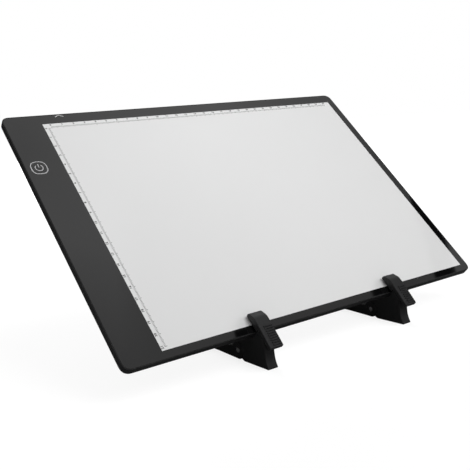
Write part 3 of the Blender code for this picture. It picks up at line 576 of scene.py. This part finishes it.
def as_object(name, shape, look):
    """Makes the shape an object of the scene, with one material."""
    mesh = bpy.data.meshes.new(name)
    shape.to_mesh(mesh)
    shape.free()
    mesh.materials.append(look)
    made = bpy.data.objects.new(name, mesh)
    bpy.context.scene.collection.objects.link(made)
    return made


def printed(name, shape, look):
    """A printed mark on the panel's face, drawn in the panel's own frame."""
    bmesh.ops.recalc_face_normals(shape, faces=shape.faces)
    made = as_object(name, shape, look)
    made.data.transform(PANEL)
    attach(made, "pad")


def band(shape, line, width, closed=False):
    """A line of ink along the points of line, with mitred corners."""
    count = len(line)
    rims = ([], [])
    for i, spot in enumerate(line):
        ahead = line[(i + 1) % count] - spot if closed or i < count - 1 else spot - line[i - 1]
        behind = spot - line[i - 1] if closed or i > 0 else ahead
        way = (ahead.normalized() + behind.normalized()).normalized()
        across = Vector((-way.y, way.x))
        mitre = max(MITRE_LIMIT, across.dot(Vector((-ahead.y, ahead.x)).normalized()))
        reach = width / 2 / mitre
        rims[0].append(spot + across * reach)
        rims[1].append(spot - across * reach)
    low_left, low_right, top_left, top_right = (
        [shape.verts.new((spot.x, spot.y, height)) for spot in rim]
        for height in (-INK_TOP, INK_TOP)
        for rim in rims
    )
    for i in range(count if closed else count - 1):
        j = (i + 1) % count
        shape.faces.new((top_left[i], top_left[j], top_right[j], top_right[i]))
        shape.faces.new((low_left[i], low_right[i], low_right[j], low_left[j]))
        shape.faces.new((low_left[i], low_left[j], top_left[j], top_left[i]))
        shape.faces.new((low_right[i], top_right[i], top_right[j], low_right[j]))
    if not closed:
        shape.faces.new((low_left[0], top_left[0], top_right[0], low_right[0]))
        shape.faces.new((low_left[-1], low_right[-1], top_right[-1], top_left[-1]))


def tick_length(number):
    if number % NUMBER_STEP == 0:
        return TICK_TEN
    return TICK_FIVE if number % HALF_STEP == 0 else TICK_LENGTH


def scale_marks(look):
    """The millimetre marks along the top and the left of the lit area."""
    shape = bmesh.new()
    top = LIT_WIDTH - TICK_START
    for number in range(SCALE_ALONG + 1):
        x = ZERO_ALONG + number * TICK_PITCH
        band(shape, [Vector((x, top)), Vector((x, top - tick_length(number)))], TICK_WIDTH)
    for number in range(SCALE_DOWN + 1):
        y = LIT_WIDTH - ZERO_DOWN - number * TICK_PITCH
        end = TICK_START + tick_length(number)
        band(shape, [Vector((TICK_START, y)), Vector((end, y))], TICK_WIDTH)
    printed("scale_marks", shape, look)


def write(shape, text, place):
    """Adds a number, centred on the place and set in ink's thickness."""
    curve = bpy.data.curves.new("digits", "FONT")
    curve.body = text
    curve.size = DIGIT_SIZE
    curve.align_x = "CENTER"
    curve.align_y = "CENTER"
    curve.resolution_u = DIGIT_STEPS
    curve.extrude = INK_TOP
    curve.offset = DIGIT_BOLD
    curve.space_character = DIGIT_SPACING
    made = bpy.data.objects.new("digits", curve)
    bpy.context.scene.collection.objects.link(made)
    bpy.context.view_layer.update()
    graph = bpy.context.evaluated_depsgraph_get()
    mesh = bpy.data.meshes.new_from_object(made.evaluated_get(graph))
    mesh.transform(place)
    shape.from_mesh(mesh)
    bpy.data.meshes.remove(mesh)
    bpy.data.objects.remove(made, do_unlink=True)
    bpy.data.curves.remove(curve)


def scale_numbers(look):
    """0 to 30 along the top, 0 to 21 down the left side and turned to read upwards."""
    shape = bmesh.new()
    for number in range(SCALE_ALONG // NUMBER_STEP + 1):
        along = ZERO_ALONG + number * NUMBER_STEP * TICK_PITCH
        place = Matrix.Translation(Vector((along, LIT_WIDTH - DIGIT_PLACE, 0)))
        write(shape, str(number), place)
    for number in range(SCALE_DOWN // NUMBER_STEP + 1):
        up = LIT_WIDTH - ZERO_DOWN - number * NUMBER_STEP * TICK_PITCH
        place = Matrix.Translation(Vector((DIGIT_PLACE, up, 0)))
        write(shape, str(number), place @ Matrix.Rotation(pi / 2, 4, "Z"))
    printed("scale_numbers", shape, look)


def power_key(look):
    """The touch key: a rounded ring round an open circle with a bar."""
    shape = bmesh.new()
    ring = []
    for step in range(KEY_STEPS):
        angle = 2 * pi * step / KEY_STEPS
        reach = (abs(cos(angle)) ** KEY_POWER + abs(sin(angle)) ** KEY_POWER) ** (-1 / KEY_POWER)
        ring.append(KEY_PLACE + Vector((cos(angle), sin(angle))) * reach * KEY_HALF)
    band(shape, ring, KEY_LINE, closed=True)
    sweep = 2 * pi - 2 * ICON_GAP
    turn = [pi / 2 + ICON_GAP + sweep * step / ICON_STEPS for step in range(ICON_STEPS + 1)]
    band(shape, [KEY_PLACE + Vector((cos(a), sin(a))) * ICON_RADIUS for a in turn], ICON_LINE)
    bar = [KEY_PLACE + Vector((0, up)) for up in (BAR_START, ICON_RADIUS + BAR_PAST)]
    band(shape, bar, ICON_LINE)
    printed("power_key_mark", shape, look)


def socket_mark(look):
    """The small roof-shaped mark that shows where the socket is."""
    shape = bmesh.new()
    left = MARK_PLACE + Vector((-MARK_SPAN, -MARK_DROP))
    right = MARK_PLACE + Vector((MARK_SPAN, -MARK_DROP))
    band(shape, [left, MARK_PLACE.copy(), right], MARK_LINE)
    printed("socket_mark", shape, look)


def printing():
    dark = ink("ink_dark", dark=(0.018, 0.018, 0.019), light=(0.034, 0.034, 0.035))
    pale = ink("ink_pale", dark=(0.44, 0.44, 0.44), light=(0.52, 0.52, 0.52))
    grey = ink("ink_grey", dark=(0.40, 0.40, 0.41), light=(0.50, 0.50, 0.51))
    scale_marks(dark)
    scale_numbers(dark)
    power_key(grey)
    socket_mark(pale)


def camera():
    """Solved from the printed scale and the lit area's corners, for an image of 470 by 470."""
    data = bpy.data.cameras.new("camera")
    data.sensor_width = SENSOR_WIDTH
    data.lens = FOCAL_PIXELS / IMAGE_SIZE * SENSOR_WIDTH
    data.shift_x = (IMAGE_SIZE / 2 - CENTRE_ALONG) / IMAGE_SIZE
    data.shift_y = (CENTRE_DOWN - IMAGE_SIZE / 2) / IMAGE_SIZE
    data.clip_start = CLIP_NEAR
    data.clip_end = CLIP_FAR
    turn = Matrix.Rotation(TILT, 3, "X")
    made = bpy.data.objects.new("camera", data)
    bpy.context.scene.collection.objects.link(made)
    axes = Matrix((turn @ CAMERA_RIGHT, -(turn @ CAMERA_DOWN), -(turn @ CAMERA_AHEAD)))
    made.matrix_world = Matrix.Translation(PANEL @ CAMERA_PLACE) @ axes.transposed().to_4x4()
    bpy.context.scene.camera = made


def world():
    """Pale ambient light on the object, and white where the background is seen."""
    made = bpy.data.worlds.new("studio")
    made.use_nodes = True
    bpy.context.scene.world = made
    tree = made.node_tree
    back = tree.nodes["Background"]
    path = tree.nodes.new("ShaderNodeLightPath").outputs
    blend = tree.nodes.new("ShaderNodeMix")
    blend.data_type = "RGBA"
    shown = path["Is Camera Ray"]
    for name in ("Is Glossy Ray", "Is Transmission Ray"):
        step = tree.nodes.new("ShaderNodeMath")
        step.operation = "MAXIMUM"
        tree.links.new(shown, step.inputs[0])
        tree.links.new(path[name], step.inputs[1])
        shown = step.outputs[0]
    tree.links.new(shown, blend.inputs["Factor"])
    blend.inputs[MIX_FIRST].default_value = (*AMBIENT, 1.0)
    blend.inputs[MIX_SECOND].default_value = (*WHITE, 1.0)
    tree.links.new(blend.outputs[MIX_RESULT], back.inputs["Color"])
    back.inputs["Strength"].default_value = 1.0


def lamp(name, way, distance, size, level):
    """A soft square lamp that lights a surface turned towards it to that level of its colour."""
    data = bpy.data.lights.new(name, "AREA")
    data.shape = "SQUARE"
    data.size = size
    data.energy = level * (pi * distance) ** 2
    made = bpy.data.objects.new(name, data)
    bpy.context.scene.collection.objects.link(made)
    made.location = LAMP_TARGET + Vector(way).normalized() * distance
    made.rotation_euler = Vector(way).to_track_quat("Z", "Y").to_euler()
    made.visible_glossy = False


def staged(name, corners, look):
    """A flat stage piece with the given corners, in order round it."""
    shape = bmesh.new()
    shape.faces.new([shape.verts.new(corner) for corner in corners])
    made = as_object(name, shape, look)
    return made


def glowing(name, strength):
    """Cloth that gives off light and reflects none."""
    g = Graph(name, roughness=1.0)
    g.set(base_color=BLACK, emission_color=WHITE, emission_strength=strength(g))
    g.specular(0.0)
    return g.material


def gloss_only(card):
    """The card shows in reflections alone, and neither lights nor shades anything else."""
    for kind in ("camera", "diffuse", "transmission", "volume_scatter", "shadow"):
        setattr(card, "visible_" + kind, False)


def floor():
    """Pale paper, whiter further out. In gloss it is darker, and a painted shadow makes it darkest
    close under the object.
    """
    g = Graph("floor_paper", roughness=0.9)
    distance = g.node("VectorMath", operation="LENGTH")
    g.link(g.place, distance.inputs[0])
    glow = g.remap(distance.outputs["Value"], FLOOR_NEAR, FLOOR_FAR, FLOOR_GLOW, 1.0)
    path = g.node("LightPath").outputs
    gloss = path["Is Glossy Ray"]
    shown = g.math("MAXIMUM", path["Is Camera Ray"], path["Is Transmission Ray"])
    in_gloss = g.math("MULTIPLY", gloss, FLOOR_GLOW_IN_GLOSS)
    # Painted shadow: the floor's glow in gloss is dimmed where the object is close above it
    in_gloss = g.math("MULTIPLY", in_gloss, g.open_air(FLOOR_PAINTED_SHADOW_REACH))
    g.set(
        base_color=g.mix(gloss, g.mix(shown, FLOOR_PALE, FLOOR_SHADE), BLACK),
        emission_color=WHITE,
        emission_strength=g.math("ADD", g.math("MULTIPLY", shown, glow), in_gloss),
    )
    g.specular(0.0)
    turn = [2 * pi * step / FLOOR_STEPS for step in range(FLOOR_STEPS)]
    corners = [(FLOOR_RADIUS * cos(angle), FLOOR_RADIUS * sin(angle), 0.0) for angle in turn]
    staged("floor", corners, g.material)


def card_shade(g, over, toward, place, reach):
    """1 inside one dark patch of the card, within a span of each of its two ways, and 0 outside."""
    low, high = (g.remap(over, edge - SHADE_SOFT, edge + SHADE_SOFT) for edge in place)
    near, far = (g.remap(toward, edge - SHADE_SOFT, edge + SHADE_SOFT) for edge in reach)
    across = g.math("SUBTRACT", low, high)
    return g.math("MULTIPLY", across, g.math("SUBTRACT", near, far))


def card_light(g):
    """The card's light: brighter upwards and to the back, with a bright foot and dark patches."""
    split = g.node("SeparateXYZ")
    g.link(g.place, split.inputs["Vector"])
    y, z = split.outputs["Y"], split.outputs["Z"]
    front = g.math("ADD", g.remap(z, *FRONT_LOW_SPAN), g.remap(z, *FRONT_HIGH_SPAN))
    rise = g.math("SUBTRACT", g.remap(y, *FRONT_TOP_SPAN), FRONT_TOP_LEVEL)
    front = g.math("ADD", front, g.math("MULTIPLY", g.remap(z, *FRONT_TOP_HEIGHT), rise))
    back = g.math("ADD", g.remap(z, *BACK_LOW_SPAN), g.remap(z, *BACK_HIGH_SPAN))
    more = g.math("MULTIPLY", g.remap(y, *FRONT_TO_BACK), g.math("SUBTRACT", back, front))
    shine = g.math("MAXIMUM", g.math("ADD", front, more), g.remap(z, *FOOT_SPAN))
    over = g.math("SUBTRACT", z, g.math("MULTIPLY", y, SHADE_LEAN))
    toward = g.math("ADD", y, g.math("MULTIPLY", z, SHADE_TURN))
    shade = card_shade(g, over, y, SLOT_PLACE, SLOT_REACH)
    for place, reach in PATCHES:
        shade = g.math("MAXIMUM", shade, card_shade(g, over, toward, place, reach))
    return g.math("MULTIPLY", shine, g.math("SUBTRACT", 1.0, shade))


def card():
    """A tall pale card on the right that only gloss sees: the panel's black border mirrors it."""
    corners = (
        (CARD_RIGHT, CARD_FRONT, CARD_LOW),
        (CARD_RIGHT, CARD_BACK, CARD_LOW),
        (CARD_RIGHT, CARD_BACK, CARD_HIGH),
        (CARD_RIGHT, CARD_FRONT, CARD_HIGH),
    )
    gloss_only(staged("card", corners, glowing("card_cloth", card_light)))


def flags():
    """Dark cards on the left, behind and on the right that only gloss sees.

    They keep the dark sides dark.
    """
    cloth = glowing("flag_cloth", lambda g: g.remap(g.noise(30.0), *MOST, *FLAG_WEAVE))
    for name, start, end in zip(FLAG_NAMES, FLAG_LINE, FLAG_LINE[1:]):
        corners = [(*start, FLAG_LOW), (*end, FLAG_LOW), (*end, FLAG_HIGH), (*start, FLAG_HIGH)]
        gloss_only(staged(name, corners, cloth))


def smooth_shading():
    for node in nodes.values():
        node.data.shade_smooth()
        node.data.set_sharp_from_angle(angle=SHARP_ANGLE)


finishes()
printing()
smooth_shading()
camera()
world()
for settings in LAMPS:
    lamp(*settings)
floor()
card()
flags()
bpy.context.scene.view_settings.view_transform = "Standard"
